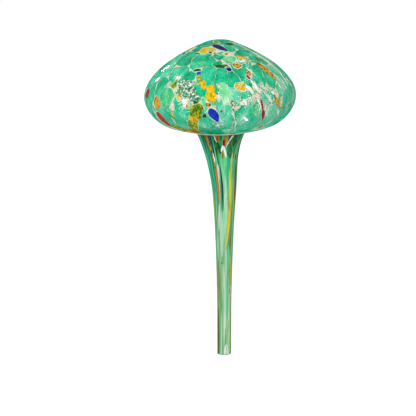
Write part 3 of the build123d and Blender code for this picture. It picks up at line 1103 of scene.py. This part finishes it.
def stripe_mesh(path, width, layer):
    """Azimuths, heights, lifts, rim values and faces of one drawn thread with pointed or square ends."""
    path_heights = np.array([place[1] for place in path], float)[::-1]
    path_turns = np.radians(np.array([place[0] for place in path], float))[::-1]
    low_end, high_end = pointed_ends
    if path_heights[-1] > crease_height:
        path_heights[-1] = stem_length - stripe_seat
        high_end = square_end
    if path_heights[0] < tip_height:
        path_heights[0] = tip_cut
        low_end = square_end
    length = path_heights[-1] - path_heights[0]
    rows = int(max(fewest_rows, length / row_pitch))
    share = np.linspace(0, 1, rows)
    height = path_heights[0] + share * length
    turn = np.interp(height, path_heights, path_turns)
    half = width / 2 * np.sin(math.pi * (low_end + (high_end - low_end) * share)) ** thread_point
    spread = half / stem_radius(height)
    columns = len(thread_columns)
    turns = np.tile((turn[:, None] + spread[:, None] * thread_columns).ravel(), 2)
    heights = np.tile(np.repeat(height, columns), 2)
    base = rows * columns
    top = np.tile(thread_lift + layer - thread_sag * thread_columns ** thread_round, rows)
    lift = np.concatenate([top, np.full(base, -stripe_seat)])
    rim = np.tile(np.abs(thread_columns), 2 * rows)
    faces = []
    for row in range(rows - 1):
        for column in range(columns - 1):
            corner = row * columns + column
            quad = (corner, corner + 1, corner + columns + 1, corner + columns)
            faces.append(quad)
            faces.append(tuple(base + place for place in reversed(quad)))
    border = list(range(columns))
    border += [row * columns + columns - 1 for row in range(1, rows)]
    border += [base - 1 - column for column in range(1, columns)]
    border += [row * columns for row in range(rows - 2, 0, -1)]
    for place, corner in enumerate(border):
        before = border[place - 1]
        faces.append((corner, before, base + before, base + corner))
    return turns, heights, lift, rim, faces


def back_stripes():
    """Colour, path, width and tint of each thread of the back."""
    for number in range(back_stripe_count):
        azimuth = 180 + (number - (back_stripe_count - 1) / 2) * back_stripe_gap
        colour = back_stripe_colours[number % len(back_stripe_colours)]
        low = picked(number, 5, back_low_ends)
        high = min(back_stripe_top, low + picked(number, 6, back_lengths))
        path = [(azimuth, high), (azimuth + picked(number, 7, back_drifts), low)]
        width = picked(number, 8, back_widths) * (back_tip_share + high / back_full_height)
        yield colour, path, width, picked(number, 9, back_tints)


def make_stripes():
    """One piece for each colour of thread, which stands for the solids of that colour."""
    stripes = [(colour, *row) for colour, rows in front_stripes.items() for row in rows]
    stripes += back_stripes()
    layers = {colour: layer_step * place for place, colour in enumerate(reversed(list(front_stripes)))}
    parts = {}
    for colour, path, width, tint in stripes:
        turns, heights, lift, rim, faces = stripe_mesh(path, width, layers[colour])
        part = parts.setdefault(colour, new_part())
        add_rows(part, [turns, heights, lift, rim, np.full(len(turns), tint)], faces)
    for colour, part in parts.items():
        turns, heights, lift, rim, tint = np.concatenate(part["rows"]).T
        places, normals = stem_surface(turns, heights, lift)
        material = thread_materials[colour]
        make_piece(f"stem_{colour}_threads", places, part["faces"], material,
                   [f"stem_{colour}_stripes"], normals, {"rim": rim, "tint": tint})


make_stripes()

# The clear wall inside the cap
seed_size = 4.0


def clear_wall_glass():
    """Clear blown soda glass: half seen through, with a faint green body and a few seeds."""
    material, tree, shader = new_glass("clear_wall_glass")
    seeds = noise(tree, object_place(tree), seed_size * MM)
    body = ramp(tree, seeds, [(0.3, "#bfe3cc"), (0.7, "#e2f2e6")])
    set_inputs(tree, shader, {"Base Color": body, "Transmission Weight": 0.6})
    return material


wall_glass = clear_wall_glass()
for material_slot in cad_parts["cap_wall"].material_slots:
    material_slot.material = wall_glass

# Floor, light and camera, in metres
floor_height = -0.25
floor_reach = 30.0
floor_glow = 0.55
world_light = 0.65
world_glow = 0.35


def seen_rays(tree):
    """1 for what the camera sees straight, in gloss or through glass, and 0 for light on the object."""
    rays = add_node(tree, "ShaderNodeLightPath").outputs
    seen = reckon(tree, "MAXIMUM", rays["Is Camera Ray"], rays["Is Glossy Ray"])
    return reckon(tree, "MAXIMUM", seen, rays["Is Transmission Ray"])


def studio_paper():
    """Matt white paper, which shows only the soft shadow."""
    material, tree, shader = new_material("white_studio_paper")
    glow = reckon(tree, "MULTIPLY", seen_rays(tree), floor_glow)
    set_inputs(tree, shader, {"Base Color": linear("#e8e8e8"), "Roughness": 0.9})
    set_inputs(tree, shader, {"Emission Color": (1, 1, 1, 1), "Emission Strength": glow})
    return material


def make_stage():
    mesh = bpy.data.meshes.new("studio_floor")
    corners = [(-1, -1), (1, -1), (1, 1), (-1, 1)]
    corners = [(x * floor_reach, y * floor_reach, floor_height) for x, y in corners]
    mesh.from_pydata(corners, [], [(0, 1, 2, 3)])
    mesh.materials.append(studio_paper())
    floor = new_object("studio_floor", mesh)

    world = bpy.data.worlds.new("white_studio")
    bpy.context.scene.world = world
    world.use_nodes = True
    tree = world.node_tree
    strength = reckon(tree, "MULTIPLY_ADD", seen_rays(tree), world_glow, world_light)
    set_inputs(tree, tree.nodes["Background"], {"Color": (1, 1, 1, 1), "Strength": strength})


def aim(thing, place, target):
    thing.location = place
    thing.rotation_euler = (Vector(target) - Vector(place)).to_track_quat("-Z", "Y").to_euler()


def add_softbox(name, place, target, width, height, watts):
    light = bpy.data.lights.new(name, "AREA")
    light.shape = "RECTANGLE"
    light.size = width
    light.size_y = height
    light.energy = watts
    softbox = new_object(name, light)
    aim(softbox, place, target)
    return softbox


camera_target = Vector((-0.0138, 0.0, 0.1249))
camera_distance = 1.315
camera_rise = math.radians(8.0)
camera_place = camera_target + Vector((0, -math.cos(camera_rise), math.sin(camera_rise))) * camera_distance
light_target = (0, 0, 0.17)

# Glints: azimuth and share on the cap, and distance, width, height and watts of the lamp
glints = {
    "high_glint": (-66.5, 0.383, 1.0, 0.035, 0.10, 7.0),
    "low_glint": (-64.5, 0.468, 1.0, 0.03, 0.08, 5.0),
    "front_glint": (20.5, 0.71, 0.38, 0.10, 0.014, 0.35),
}


def mirror_place(azimuth, share, distance):
    """Where a lamp stands so that its reflection shows at a place on the cap."""
    places, normals = cap_surface(np.array([flat_place(azimuth, share)]), 0.0)
    spot = Vector(places[0])
    normal = Vector(normals[0])
    sight = (camera_place - spot).normalized()
    return spot + (2 * normal.dot(sight) * normal - sight) * distance, spot


def make_lights():
    key = add_softbox("key_softbox", (-0.4, -1.2, 0.8), light_target, width=0.6, height=0.6, watts=9.5)
    key.visible_glossy = False
    for name, (azimuth, share, distance, width, height, watts) in glints.items():
        window = add_softbox(name, *mirror_place(azimuth, share, distance), width, height, watts)
        window.visible_diffuse = False


def make_camera():
    lens = bpy.data.cameras.new("photo_camera")
    lens.lens = 135
    lens.sensor_width = 36
    camera = new_object("photo_camera", lens)
    aim(camera, camera_place, camera_target)
    bpy.context.scene.camera = camera


make_stage()
make_lights()
make_camera()
bpy.context.scene.view_settings.view_transform = "Standard"
